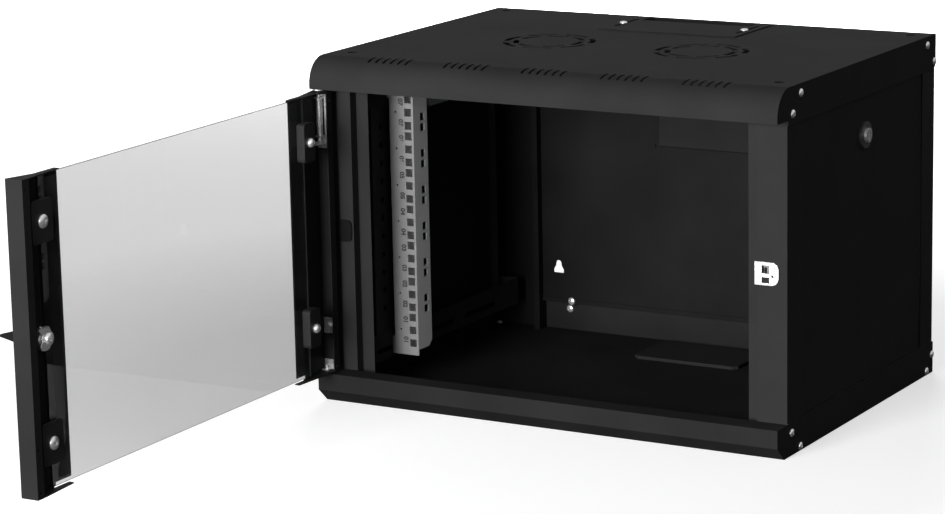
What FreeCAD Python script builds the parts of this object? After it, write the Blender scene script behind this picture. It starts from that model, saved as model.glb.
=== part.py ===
import FreeCAD, Part
import math
import os
from types import SimpleNamespace

import Sketcher

# A wall cabinet of seven rack units, in millimetres. X points right seen from the front,
# Y to the rear and Z up; the origin is the middle of the underside. The glass door is
# drawn on its own hinge axis and placed open, and its joint brings it shut.

DOC = FreeCAD.newDocument("WallCabinet")
V = FreeCAD.Vector

SIZES = {
    # The box and its sheets
    "width": 600.0,
    "depth": 450.0,
    "height": 416.0,
    "cover_sheet": 1.2,
    "frame_sheet": 1.5,
    "rail_sheet": 2.0,
    "seat_gap": 0.3,
    "fit_play": 0.05,
    # Top cover
    "band_height": 36.7,
    "roll_radius": 31.0,
    "top_flange": 42.5,
    "rear_flange": 36.0,
    "lip_depth": 28.0,
    "side_lip": 14.8,
    "vent_width": 3.0,
    "vent_length": 20.0,
    "vent_setback": 17.0,
    "vent_pitch": 10.0,
    "vent_group_pitch": 101.6,
    "fan_offset": 100.8,
    "fan_setback": 228.0,
    "fan_outer_ring": 52.5,
    "fan_inner_ring": 40.0,
    "fan_slot_width": 7.0,
    "corner_hole_radius": 6.0,
    "corner_hole_inset": 24.0,
    "corner_hole_front": 58.0,
    "corner_hole_rear": 21.0,
    # Bottom cover
    "base_lip_top": 37.5,
    "base_flange": 38.5,
    "base_chamfer_rise": 16.5,
    "base_chamfer_run": 18.0,
    # Frame
    "post_setback": 28.4,
    "post_side_depth": 40.6,
    "post_face_width": 36.8,
    "post_step": 13.0,
    "post_inner_lip": 16.0,
    "rear_post_width": 62.8,
    "rear_post_depth": 38.0,
    "rear_post_lip": 8.0,
    "rear_post_lip_setback": 20.0,
    "brace_inset": 38.0,
    "brace_foot": 36.0,
    "brace_height": 34.0,
    "brace_front": 66.0,
    "brace_rear": 29.0,
    "brace_slot_length": 79.0,
    "brace_slot_height": 6.0,
    "brace_slot_pitch": 105.0,
    "brace_slot_rear": 87.0,
    "brace_slot_rise": 12.5,
    "strip_front": 73.0,
    "strip_width": 46.0,
    "strip_hole_radius": 3.75,
    # Rear panel and cable plates
    "panel_setback": 8.0,
    "hem_height": 6.0,
    "keyhole_offset": 212.5,
    "keyhole_height": 89.5,
    "keyhole_pitch": 240.0,
    "keyhole_slot": 4.0,
    "keyhole_mouth": 7.15,
    "rear_plate_width": 129.0,
    "rear_plate_offset": -2.5,
    "rear_plate_foot": 253.0,
    "rear_plate_height": 117.0,
    "rear_plate_thick": 3.0,
    "top_plate_width": 184.0,
    "top_plate_length": 112.0,
    "top_plate_setback": 8.0,
    "notch_width": 148.0,
    "notch_depth": 30.0,
    "plate_slot_length": 65.0,
    "plate_slot_front": 25.0,
    "plate_slot_radius": 2.2,
    "plate_screw_offset": 82.0,
    "plate_screw_setback": 72.0,
    "floor_plate_width": 142.0,
    "floor_plate_length": 85.0,
    "floor_plate_offset": 13.0,
    "floor_plate_setback": 17.0,
    "floor_plate_rise": 4.0,
    # Rails
    "unit_height": 44.45,
    "units_foot": 49.4,
    "rail_hole_span": 465.1,
    "rail_hole": 9.5,
    "rail_face_setback": 108.6,
    "rail_inner": 225.0,
    "rail_face_width": 33.0,
    "rail_side_depth": 32.1,
    "rail_foot": 41.0,
    "rail_tab_height": 21.0,
    "rail_tab_depth": 26.0,
    "rail_bolt_radius": 2.5,
    "rail_bolt_setback": 125.0,
    # Side panels and their locks
    "side_gap": 1.0,
    "side_return": 12.0,
    "side_lock_setback": 207.5,
    "side_lock_height": 328.0,
    "rosette_radius": 15.5,
    "lock_core_radius": 6.0,
    "side_cam_length": 50.0,
    "side_cam_width": 12.0,
    # Door
    "hinge_inset": 7.5,
    "hinge_setback": 9.0,
    "door_angle": 89.3,
    "door_foot": 39.0,
    "door_height": 338.5,
    "door_width": 595.0,
    "door_front": 7.5,
    "door_back": 14.0,
    "hinge_slope": 55.0,
    "hinge_landing": 27.0,
    "lock_slope": 34.0,
    "lock_landing": 35.5,
    "door_dish": 10.0,
    "door_rim": 11.5,
    "glass_thick": 4.0,
    "glass_foot": 44.0,
    "glass_height": 331.5,
    "pad_thick": 0.5,
    "hinge_pin_radius": 3.0,
    "hinge_pin_top": 383.0,
    "hinge_bracket_foot": 308.0,
    "hinge_bracket_height": 64.0,
    "clamp_height": 46.0,
    "hinge_clamp_width": 23.0,
    "hinge_clamp_thick": 10.5,
    "hinge_clamp_offset": 3.5,
    "lock_clamp_width": 35.5,
    "lock_clamp_thick": 2.0,
    "lock_clamp_offset": 1.5,
    "hinge_clamp_low": 104.0,
    "hinge_clamp_high": 325.0,
    "lock_clamp_low": 92.0,
    "lock_clamp_high": 328.0,
    "clamp_boss_radius": 5.5,
    "clamp_screw_radius": 2.5,
    "lock_inset": 33.5,
    "lock_height": 204.5,
    "lock_barrel_radius": 9.5,
    # Screws and the strike
    "screw_radius": 1.9,
    "screw_head_radius": 4.6,
    "screw_head_height": 2.6,
    "strike_width": 29.0,
    "strike_height": 26.0,
    "strike_foot": 194.0,
    "strike_inner": 260.0,
}


class Length:
    """A number together with the sheet expression that it comes from."""

    def __init__(self, number, text):
        self.number = float(number)
        self.text = text

    def __add__(self, other):
        other = as_length(other)
        return Length(self.number + other.number, f"({self.text} + {other.text})")

    def __sub__(self, other):
        other = as_length(other)
        return Length(self.number - other.number, f"({self.text} - {other.text})")

    def __mul__(self, factor):
        factor = as_length(factor)
        return Length(self.number * factor.number, f"({self.text} * {factor.text})")

    def __truediv__(self, factor):
        factor = as_length(factor)
        return Length(self.number / factor.number, f"({self.text} / {factor.text})")

    def __radd__(self, other):
        return as_length(other) + self

    def __rsub__(self, other):
        return as_length(other) - self

    def __rmul__(self, factor):
        return as_length(factor) * self

    def __neg__(self):
        return as_length(-1.0) * self


def as_length(value):
    """The value itself if it is a Length, or a bare number as one."""
    if isinstance(value, Length):
        return value
    return Length(value, f"({float(value):.9f})")


def make_sheet():
    """Fill the spreadsheet and hand back its sizes by name."""
    sheet = DOC.addObject("Spreadsheet::Sheet", "Sizes")
    for row, (word, number) in enumerate(SIZES.items(), 1):
        sheet.set(f"A{row}", word)
        sheet.set(f"B{row}", str(number))
        sheet.setAlias(f"B{row}", word)
    DOC.recompute()
    return SimpleNamespace(**{word: Length(sheet.get(word), f"Sizes.{word}") for word in SIZES})


S = make_sheet()

# Faces and levels that several pieces share
HALF = S.width / 2
FRONT = -(S.depth / 2)
REAR = S.depth / 2
ROOF = S.height - S.cover_sheet
INNER = HALF - S.cover_sheet
POST_FACE = FRONT + S.post_setback
POST_REAR = POST_FACE + S.post_side_depth
POST_INNER = INNER - S.post_face_width
REAR_POST_FACE = REAR - S.rear_post_depth
REAR_POST_INNER = INNER - S.rear_post_width
BACK = REAR - S.cover_sheet
BRACE = HALF - S.brace_inset
BRACE_LEVELS = (S.brace_foot, S.height - S.brace_foot - S.brace_height)
BOLT_LEVELS = (S.brace_foot + S.brace_slot_rise, S.height - S.brace_foot - S.brace_slot_rise)
HINGE_X = S.hinge_inset - HALF
HINGE_Y = FRONT + S.hinge_setback
SIDES = {"left": -1.0, "right": 1.0}

PLANES = {"x": "YZ_Plane", "y": "XZ_Plane", "z": "XY_Plane"}
NODES = []


def box(low_u, high_u, low_v, high_v):
    """The outline of an upright rectangle."""
    return [(low_u, low_v), (high_u, low_v), (high_u, high_v), (low_u, high_v)]


def disc(u, v, radius):
    """The outline of a circle."""
    return ("disc", u, v, radius)


def flats(u, v, radius, count=12):
    """A small round outline drawn with flats, which meshes lightly."""
    turns = [math.tau * step / count for step in range(count)]
    return [(u + radius * math.cos(turn), v + radius * math.sin(turn)) for turn in turns]


def clear_hole(u, v, radius, count=8):
    """A hole with flats that clears a shank of the radius all round."""
    return flats(u, v, (radius + S.fit_play) / math.cos(math.pi / count), count)


def rounded(low_u, high_u, low_v, high_v, radius):
    """A rectangle whose corners are turned in three flats."""
    corners = ((high_u, high_v, -1, -1, 0), (low_u, high_v, 1, -1, 90),
               (low_u, low_v, 1, 1, 180), (high_u, low_v, -1, 1, 270))
    points = []
    for u, v, inward_u, inward_v, start in corners:
        for turn in range(start, start + 91, 30):
            angle = math.radians(turn)
            points.append((u + inward_u * radius + radius * math.cos(angle),
                           v + inward_v * radius + radius * math.sin(angle)))
    return points


def slot(u, v, half_run, radius, upright=False):
    """A slot about a centre, along either direction, its ends turned in four flats."""
    points = []
    for end, start in ((1.0, -90), (-1.0, 90)):
        for turn in range(start, start + 181, 45):
            along = end * half_run + radius * math.cos(math.radians(turn))
            across = radius * math.sin(math.radians(turn))
            points.append((u + across, v + along) if upright else (u + along, v + across))
    return points


def mirrored(points, side):
    """The same outline on the left or right; a bend keeps its radius and turns over."""
    turned = []
    for u, v, *bend in points:
        turned.append((side * u, v, *[side * radius for radius in bend]))
    return turned


def bind(sketch, index, value):
    """Tie a constraint to the sheet."""
    if isinstance(value, Length):
        sketch.setExpression(f"Constraints[{index}]", value.text)


def pin(sketch, geometry, point, place):
    """Fix a point of the sketch by its two distances from the sketch's origin."""
    for kind, value in zip(("DistanceX", "DistanceY"), place):
        number = as_length(value).number
        index = sketch.addConstraint(Sketcher.Constraint(kind, -1, 1, geometry, point, number))
        bind(sketch, index, value)


def draw_disc(sketch, u, v, radius):
    """A circle, with its centre and radius fixed."""
    centre = V(as_length(u).number, as_length(v).number, 0)
    size = as_length(radius).number
    geometry = sketch.addGeometry(Part.Circle(centre, V(0, 0, 1), size))
    pin(sketch, geometry, 3, (u, v))
    index = sketch.addConstraint(Sketcher.Constraint("Radius", geometry, size))
    bind(sketch, index, radius)


def arc_between(start, end, radius):
    """An arc of up to half a turn; a positive radius runs anticlockwise."""
    chord = end - start
    size = max(abs(radius), chord.Length / 2)
    reach = math.sqrt(max(size**2 - (chord.Length / 2) ** 2, 0.0))
    across = V(-chord.y, chord.x, 0).normalize() * math.copysign(reach, radius)
    centre = start + chord / 2 + across
    first, last = (start, end) if radius > 0 else (end, start)
    first_angle = math.atan2(first.y - centre.y, first.x - centre.x)
    last_angle = math.atan2(last.y - centre.y, last.x - centre.x)
    return Part.ArcOfCircle(Part.Circle(centre, V(0, 0, 1), size), first_angle, last_angle)


def pin_half_turn(sketch, geometry, chord, point):
    """Keep the centre of a half circle level with its two ends."""
    kind, value = ("DistanceX", point[0]) if abs(chord.x) < abs(chord.y) else ("DistanceY", point[1])
    number = as_length(value).number
    index = sketch.addConstraint(Sketcher.Constraint(kind, -1, 1, geometry, 3, number))
    bind(sketch, index, value)


def draw_outline(sketch, points):
    """A closed outline; a corner with a third value starts an arc of that radius."""
    places = [V(as_length(point[0]).number, as_length(point[1]).number, 0) for point in points]
    tips = []
    for start, end, point in zip(places, places[1:] + places[:1], points):
        if len(point) == 3:
            radius = as_length(point[2]).number
            geometry = sketch.addGeometry(arc_between(start, end, radius))
            tips.append((geometry, 1, 2) if radius > 0 else (geometry, 2, 1))
            if (end - start).Length > abs(radius) * 2 - 0.001:
                pin_half_turn(sketch, geometry, end - start, point)
                continue
            index = sketch.addConstraint(Sketcher.Constraint("Radius", geometry, abs(radius)))
            if isinstance(point[2], Length):
                bind(sketch, index, point[2] if radius > 0 else -point[2])
        else:
            geometry = sketch.addGeometry(Part.LineSegment(start, end))
            tips.append((geometry, 1, 2))
    for (geometry, start, end), (following, first, _) in zip(tips, tips[1:] + tips[:1]):
        sketch.addConstraint(Sketcher.Constraint("Coincident", geometry, end, following, first))
    for (geometry, start, end), point in zip(tips, points):
        pin(sketch, geometry, start, point[:2])


class Piece:
    """A PartDesign body made of pads, pockets and patterns along the main axes."""

    def __init__(self, name):
        self.body = DOC.addObject("PartDesign::Body", name)
        self.body.Label = name
        NODES.append(self.body)

    def origin(self, role):
        """One of the body's own planes or axes."""
        return next(item for item in self.body.Origin.OriginFeatures if item.Role == role)

    def sketch(self, axis, level, outlines, shift=(0.0, 0.0)):
        """A sketch square to an axis, at a level along it, about a shifted origin."""
        sketch = self.body.newObject("Sketcher::SketchObject", self.body.Name + "_sketch")
        sketch.AttachmentSupport = [(self.origin(PLANES[axis]), "")]
        sketch.MapMode = "FlatFace"
        level = -as_length(level) if axis == "y" else as_length(level)
        for direction, value in zip("xyz", (*shift, level)):
            setattr(sketch.AttachmentOffset.Base, direction, as_length(value).number)
            sketch.setExpression(f".AttachmentOffset.Base.{direction}", as_length(value).text)
        for outline in outlines:
            if outline[0] == "disc":
                draw_disc(sketch, *outline[1:])
            else:
                draw_outline(sketch, outline)
        return sketch

    def feature(self, kind, axis, low, high, outlines, shift):
        """A pad or pocket between two levels."""
        middle = (as_length(low) + high) / 2
        sketch = self.sketch(axis, middle, outlines, shift)
        feature = self.body.newObject("PartDesign::" + kind, self.body.Name + "_" + kind.lower())
        feature.Profile = sketch
        feature.SideType = "Symmetric"
        feature.setExpression("Length", (as_length(high) - low).text)
        return feature

    def add(self, axis, low, high, *outlines, shift=(0.0, 0.0)):
        """Material between two levels."""
        return self.feature("Pad", axis, low, high, outlines, shift)

    def cut(self, axis, low, high, *outlines, shift=(0.0, 0.0)):
        """An opening between two levels."""
        return self.feature("Pocket", axis, low, high, outlines, shift)

    def row(self, feature, role, count, pitch):
        """Repeat a cut along one axis."""
        pattern = self.body.newObject("PartDesign::LinearPattern", self.body.Name + "_row")
        pattern.Originals = [feature]
        pattern.Direction = (self.origin(role), [""])
        pattern.Mode = "Spacing"
        pattern.Occurrences = count
        pattern.setExpression("Offset", as_length(pitch).text)
        self.body.Tip = pattern
        return pattern

    def ring(self, feature, count):
        """Repeat a cut round the origin of its own sketch."""
        pattern = self.body.newObject("PartDesign::PolarPattern", self.body.Name + "_ring")
        pattern.Originals = [feature]
        pattern.Axis = (feature.Profile[0], ["N_Axis"])
        pattern.Angle = 360
        pattern.Occurrences = count
        self.body.Tip = pattern
        return pattern

    def hang(self):
        """Place a piece that is drawn on the hinge axis with the closed door."""
        hang_on_hinge(self.body)
        self.body.setExpression(".Placement.Base.x", HINGE_X.text)
        self.body.setExpression(".Placement.Base.y", HINGE_Y.text)
        self.body.setExpression(".Placement.Rotation.Angle", S.door_angle.text)


def hang_on_hinge(item):
    """Turn an item open about the door's hinge axis."""
    turn = FreeCAD.Rotation(V(0, 0, -1), S.door_angle.number)
    item.Placement = FreeCAD.Placement(V(HINGE_X.number, HINGE_Y.number, 0), turn)


# Covers

COVER_SCREWS = (
    (FRONT + 60, S.height - 10.5),
    (FRONT + 39, S.height - 30.5),
    (REAR - 28, S.height - 10),
    (REAR - 6, S.height - 32),
    (FRONT + 37, 26.5),
    (FRONT + 60, 5.5),
    (REAR - 5, 23.0),
    (REAR - 21, 5.5),
)
COVER_SCREW_LENGTH = 8.0


def corner_holes():
    """The four round holes near the corners of the roof."""
    across = HALF - S.corner_hole_inset
    places = (FRONT + S.corner_hole_front, REAR - S.corner_hole_rear)
    return [disc(side * across, y, S.corner_hole_radius) for side in (-1.0, 1.0) for y in places]


def screw_holes(places):
    """Clearance holes for the cover screws."""
    return [clear_hole(y, z, S.screw_radius) for y, z in places]


def side_lips(piece, low):
    """Inward lips along the side flanges, between the front and the rear posts."""
    for side in (-1.0, 1.0):
        outline = box(side * (INNER - S.side_lip), side * INNER, POST_REAR, REAR_POST_FACE)
        piece.add("z", low, low + S.cover_sheet, outline)


def make_top_cover():
    """Roof with a rolled front band, a rear flange and two side flanges."""
    piece = Piece("top_cover")
    sheet = S.cover_sheet
    band = S.height - S.band_height
    roll = S.height - S.roll_radius
    bend = FRONT + S.roll_radius
    inner_radius = S.roll_radius - sheet
    piece.add("x", -HALF, HALF, [
        (FRONT, band),
        (FRONT + sheet, band),
        (FRONT + sheet, roll, -inner_radius),
        (bend, ROOF),
        (BACK, ROOF),
        (BACK, S.height - S.rear_flange),
        (REAR, S.height - S.rear_flange),
        (REAR, S.height),
        (bend, S.height, S.roll_radius),
        (FRONT, roll),
    ])
    piece.add("z", band, band + sheet, box(-HALF, HALF, FRONT, FRONT + S.lip_depth))
    flange = S.height - S.top_flange
    for side in (-1.0, 1.0):
        piece.add("x", side * INNER, side * HALF, [
            (FRONT, band),
            (FRONT + S.lip_depth, band),
            (POST_FACE, flange),
            (REAR - 6, flange),
            (REAR, S.height - S.rear_flange),
            (REAR, S.height),
            (bend, S.height, S.roll_radius),
            (FRONT, roll),
        ])
    side_lips(piece, flange)
    vent_low = FRONT + S.vent_setback
    firsts = [S.vent_group_pitch * group - S.vent_pitch * 2.5 for group in range(-2, 3)]
    vents = piece.cut("z", ROOF - 8, S.height + 1, *[
        box(first - S.vent_width / 2, first + S.vent_width / 2, vent_low, vent_low + S.vent_length)
        for first in firsts])
    piece.row(vents, "X_Axis", 6, S.vent_pitch)
    for side in (-1.0, 1.0):
        for ring, middle in ((S.fan_outer_ring, 24.5), (S.fan_inner_ring, 50.0)):
            place = (side * S.fan_offset, REAR - S.fan_setback)
            slots = piece.cut("z", ROOF - 1, S.height + 1, fan_slot(ring, middle), shift=place)
            piece.ring(slots, 7)
    opening = box(-(S.notch_width / 2), S.notch_width / 2, REAR - 100, REAR - S.top_plate_setback)
    plate_screws = [clear_hole(side * S.plate_screw_offset, REAR - S.plate_screw_setback,
                               S.screw_radius) for side in (-1.0, 1.0)]
    piece.cut("z", ROOF - 1, S.height + 1, opening, *plate_screws, *corner_holes())
    piece.cut("x", -HALF - 1, HALF + 1, *screw_holes(COVER_SCREWS[:4]))
    piece.cut("z", band - 1, band + sheet + 1, hinge_hole())


def fan_slot(ring, middle):
    """One curved slot of a fan guard, about its middle angle in degrees."""
    turns = [math.radians(middle + turn) for turn in (-19.5, -6.5, 6.5, 19.5)]
    inner, outer = ring - S.fan_slot_width / 2, ring + S.fan_slot_width / 2
    points = [(outer * math.cos(turn), outer * math.sin(turn)) for turn in turns]
    return points + [(inner * math.cos(turn), inner * math.sin(turn)) for turn in reversed(turns)]


def hinge_hole():
    """The hole for a hinge pin."""
    return clear_hole(HINGE_X, HINGE_Y, S.hinge_pin_radius, 12)


def make_bottom_cover():
    """Floor with a chamfered front, a front lip, a rear flange and two side flanges."""
    piece = Piece("bottom_cover")
    sheet = S.cover_sheet
    rise, run = S.base_chamfer_rise, S.base_chamfer_run
    mitre = 0.42
    lip = FRONT + S.lip_depth
    piece.add("x", -HALF, HALF, [
        (FRONT, S.base_lip_top),
        (FRONT, rise),
        (FRONT + run, 0.0),
        (REAR, 0.0),
        (REAR, 38.0),
        (BACK, 38.0),
        (BACK, sheet),
        (FRONT + run + sheet * mitre, sheet),
        (FRONT + sheet, rise + sheet * mitre),
        (FRONT + sheet, S.base_lip_top - sheet),
        (lip, S.base_lip_top - sheet),
        (lip, S.base_lip_top),
    ])
    for side in (-1.0, 1.0):
        piece.add("x", side * INNER, side * HALF, [
            (FRONT, S.base_lip_top),
            (FRONT, rise),
            (FRONT + run, 0.0),
            (REAR, 0.0),
            (REAR, 38.0),
            (REAR - 6, S.base_flange),
            (POST_FACE, S.base_flange),
            (lip, S.base_lip_top),
        ])
    side_lips(piece, S.base_flange - sheet)
    tab_slots = [box(side * (INNER - 9.3), side * (INNER - 0.9), y - TAB_HALF - 1, y + TAB_HALF + 1)
                 for side in (-1.0, 1.0) for y in TAB_PLACES]
    piece.cut("z", S.base_flange - sheet - 1, S.base_flange + 1, *tab_slots)
    middle = S.floor_plate_offset
    half = S.floor_plate_width / 2 - 10
    opening = box(middle - half, middle + half,
                  REAR - S.floor_plate_setback - S.floor_plate_length + 10,
                  REAR - S.floor_plate_setback - 10)
    piece.cut("z", -1.0, sheet + 1, opening)
    piece.cut("x", -HALF - 1, HALF + 1, *screw_holes(COVER_SCREWS[4:]))
    piece.cut("z", S.base_lip_top - sheet - 1, S.base_lip_top + 1, hinge_hole())
    piece.cut("y", BACK - 1, REAR + 1, clear_hole(*EARTH_BOLTS[0], 2.5))


# The two tabs at the foot of a side panel, and the earth bolts of the rear wall
TAB_PLACES = (-85.0, 115.0)
TAB_HALF = 15.0
EARTH_BOLTS = ((-200.4, 29.0), (-193.2, 41.3))


# Frame

def make_front_post(name, side):
    """Stepped sheet post: side wall, front face, step and inner lip."""
    piece = Piece("front_post_" + name)
    wall = S.frame_sheet
    step = POST_FACE + S.post_step
    edge = POST_INNER - S.post_inner_lip
    outline = [
        (INNER, POST_FACE),
        (INNER, POST_REAR),
        (INNER - wall, POST_REAR),
        (INNER - wall, POST_FACE + wall),
        (POST_INNER + wall, POST_FACE + wall),
        (POST_INNER + wall, step + wall),
        (edge, step + wall),
        (edge, step),
        (POST_INNER, step),
        (POST_INNER, POST_FACE),
    ]
    top = ROOF - S.seat_gap
    piece.add("z", S.cover_sheet, top, mirrored(outline, side))
    piece.cut("x", side * (INNER - 3), side * (INNER + 1),
              *screw_holes(COVER_SCREWS[:2] + COVER_SCREWS[4:6]))
    if side > 0:
        middle = S.strike_foot + S.strike_height / 2
        hole = STRIKE_HOLES[0]
        holes = [clear_hole(STRIKE_SCREW_X, middle + rise, S.screw_radius)
                 for rise in STRIKE_SCREWS]
        left = S.strike_inner + hole[0]
        foot = S.strike_foot + hole[1]
        piece.cut("y", POST_FACE - 1, POST_FACE + wall + 1, *holes,
                  box(left, left + STRIKE_HOLE_WIDTH, foot, foot + hole[2]))


def make_rear_post(name, side):
    """C-shaped sheet post at the rear corner."""
    piece = Piece("rear_post_" + name)
    wall = S.frame_sheet
    inner = REAR_POST_INNER
    lip = REAR - S.rear_post_lip_setback
    outline = [
        (INNER, REAR_POST_FACE),
        (INNER, BACK),
        (inner, BACK),
        (inner, lip),
        (inner + S.rear_post_lip, lip),
        (inner + S.rear_post_lip, lip + wall),
        (inner + wall, lip + wall),
        (inner + wall, BACK - wall),
        (INNER - wall, BACK - wall),
        (INNER - wall, REAR_POST_FACE),
    ]
    piece.add("z", S.cover_sheet, ROOF, mirrored(outline, side))
    piece.cut("x", side * (INNER - 3), side * (INNER + 1),
              *screw_holes(COVER_SCREWS[2:4] + COVER_SCREWS[6:]))


def make_brace(level, name, side, foot, slot_level):
    """Depth brace with three long slots, its two ends turned out to the posts."""
    piece = Piece(f"brace_{level}_{name}")
    wall = S.frame_sheet
    front, rear = FRONT + S.brace_front, REAR - S.brace_rear
    outer = INNER - wall
    outline = [
        (BRACE, front),
        (outer, front),
        (outer, front + wall),
        (BRACE + wall, front + wall),
        (BRACE + wall, rear - wall),
        (outer, rear - wall),
        (outer, rear),
        (BRACE, rear),
    ]
    piece.add("z", foot, foot + S.brace_height, mirrored(outline, side))
    middle = REAR - S.brace_slot_rear - S.brace_slot_length / 2
    radius = S.brace_slot_height / 2
    half_run = S.brace_slot_length / 2 - radius
    slots = [slot(middle - S.brace_slot_pitch * index, slot_level, half_run, radius)
             for index in range(3)]
    hole = flats(REAR - 66.6, slot_level, 2.5, 8)
    piece.cut("x", side * (BRACE - 1), side * (BRACE + wall + 1), *slots, hole)


def make_depth_strip(name, side):
    """Upright strip with a row of round holes, between the two braces of a side."""
    piece = Piece("depth_strip_" + name)
    foot = S.brace_foot + S.brace_height
    top = S.height - foot
    front = FRONT + S.strip_front
    piece.add("x", side * BRACE, side * (BRACE + S.frame_sheet),
              box(front, front + S.strip_width, foot, top))
    first = S.units_foot + S.unit_height * 1.132
    hole = piece.cut("x", side * (BRACE - 1), side * (BRACE + S.frame_sheet + 1),
                     flats(front + 21, first, S.strip_hole_radius, 8))
    piece.row(hole, "Z_Axis", 11, S.unit_height / 2)


def make_frame():
    for name, side in SIDES.items():
        make_front_post(name, side)
        make_rear_post(name, side)
        make_brace("lower", name, side, BRACE_LEVELS[0], BOLT_LEVELS[0])
        make_brace("upper", name, side, BRACE_LEVELS[1], BOLT_LEVELS[1])
        make_depth_strip(name, side)


# Rear panel and cable plates

REAR_SCREWS = ((-73.0, 253.5), (73.0, 253.5))


def keyhole(x, z):
    """A keyhole: a narrow round-topped slot over a wide mouth with a flat foot."""
    narrow, mouth = S.keyhole_slot, S.keyhole_mouth
    slant = narrow * math.sqrt(0.5)
    return [
        (x - mouth, z - 12.5),
        (x + mouth, z - 12.5),
        (x + mouth, z - 8),
        (x + narrow, z - 2.5),
        (x + narrow, z),
        (x + slant, z + slant),
        (x, z + narrow),
        (x - slant, z + slant),
        (x - narrow, z),
        (x - narrow, z - 2.5),
        (x - mouth, z - 8),
    ]


def make_rear_panel():
    """Shallow pan between the rear posts, with its edges turned to the rear."""
    piece = Piece("rear_panel")
    sheet = S.cover_sheet
    half = REAR_POST_INNER
    foot, top = 38.0, S.height - S.rear_flange
    face = REAR - S.panel_setback
    piece.add("y", face - sheet, face, box(-half, half, foot, top))
    for side in (-1.0, 1.0):
        piece.add("x", side * (half - sheet), side * half, box(face, BACK, foot, top))
    for low, high in ((foot, foot + sheet), (top - sheet, top)):
        piece.add("z", low, high, box(-half, half, face, REAR))
    hem = (foot, foot + S.hem_height)
    piece.add("y", face - sheet * 2, face - sheet, box(-half, half, *hem))
    keyholes = [keyhole(side * S.keyhole_offset, S.keyhole_height + S.keyhole_pitch * row)
                for side in (-1.0, 1.0) for row in (0, 1)]
    middle = S.rear_plate_foot + S.rear_plate_height / 2
    centre, reach = S.rear_plate_offset, S.rear_plate_width / 2 - 12
    opening = box(centre - reach, centre + reach,
                  middle - S.rear_plate_height / 2 + 12, middle + S.rear_plate_height / 2 - 12)
    holes = [clear_hole(x, z, S.screw_radius) for x, z in REAR_SCREWS]
    earth = clear_hole(*EARTH_BOLTS[1], 2.5)
    piece.cut("y", face - sheet * 2 - 1, face + 1, *keyholes, opening, *holes, earth)


def make_rear_cable_plate():
    """Pressed cover over the rear cable opening, with sloping edges."""
    piece = Piece("rear_cable_plate")
    back = REAR - S.panel_setback - S.cover_sheet
    centre, half = S.rear_plate_offset, S.rear_plate_width / 2
    foot, top = S.rear_plate_foot, S.rear_plate_foot + S.rear_plate_height
    pad = piece.add("y", back - S.rear_plate_thick, back,
                    box(centre - half, centre + half, foot, top))
    DOC.recompute()
    front = max(range(len(pad.Shape.Faces)), key=lambda i: -pad.Shape.Faces[i].CenterOfMass.y)
    bevel = piece.body.newObject("PartDesign::Chamfer", "rear_cable_plate_bevel")
    bevel.Base = (pad, [f"Face{front + 1}"])
    bevel.setExpression("Size", (S.rear_plate_thick * 0.8).text)


def make_top_cable_plate():
    """Sliding plate on the roof with a cable notch and two adjusting slots."""
    piece = Piece("top_cable_plate")
    rear = REAR - S.top_plate_setback
    half, notch = S.top_plate_width / 2, S.notch_width / 2
    piece.add("z", S.height, S.height + S.cover_sheet, [
        (-half, rear - S.top_plate_length),
        (half, rear - S.top_plate_length),
        (half, rear),
        (notch, rear),
        (notch, rear - S.notch_depth),
        (-notch, rear - S.notch_depth),
        (-notch, rear),
        (-half, rear),
    ])
    radius = S.plate_slot_radius
    half_run = S.plate_slot_length / 2 - radius
    middle = rear - S.top_plate_length + S.plate_slot_front + S.plate_slot_length / 2
    slots = [slot(side * S.plate_screw_offset, middle, half_run, radius, upright=True)
             for side in (-1.0, 1.0)]
    piece.cut("z", S.height - 1, S.height + S.cover_sheet + 1, *slots)


def make_floor_cable_plate():
    """Shallow cover over the floor's cable opening, hollow underneath."""
    piece = Piece("floor_cable_plate")
    low = S.cover_sheet
    middle, half = S.floor_plate_offset, S.floor_plate_width / 2
    rear = REAR - S.floor_plate_setback
    front = rear - S.floor_plate_length
    corner = 6.0
    piece.add("z", low, low + S.floor_plate_rise, [
        (middle - half + corner, front),
        (middle + half - corner, front),
        (middle + half, front + corner),
        (middle + half, rear),
        (middle - half, rear),
        (middle - half, front + corner),
    ])
    rim = 8.0
    piece.cut("z", low - 1, low + S.floor_plate_rise - S.cover_sheet,
              box(middle - half + rim, middle + half - rim, front + rim, rear - rim))


# Rails

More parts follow.
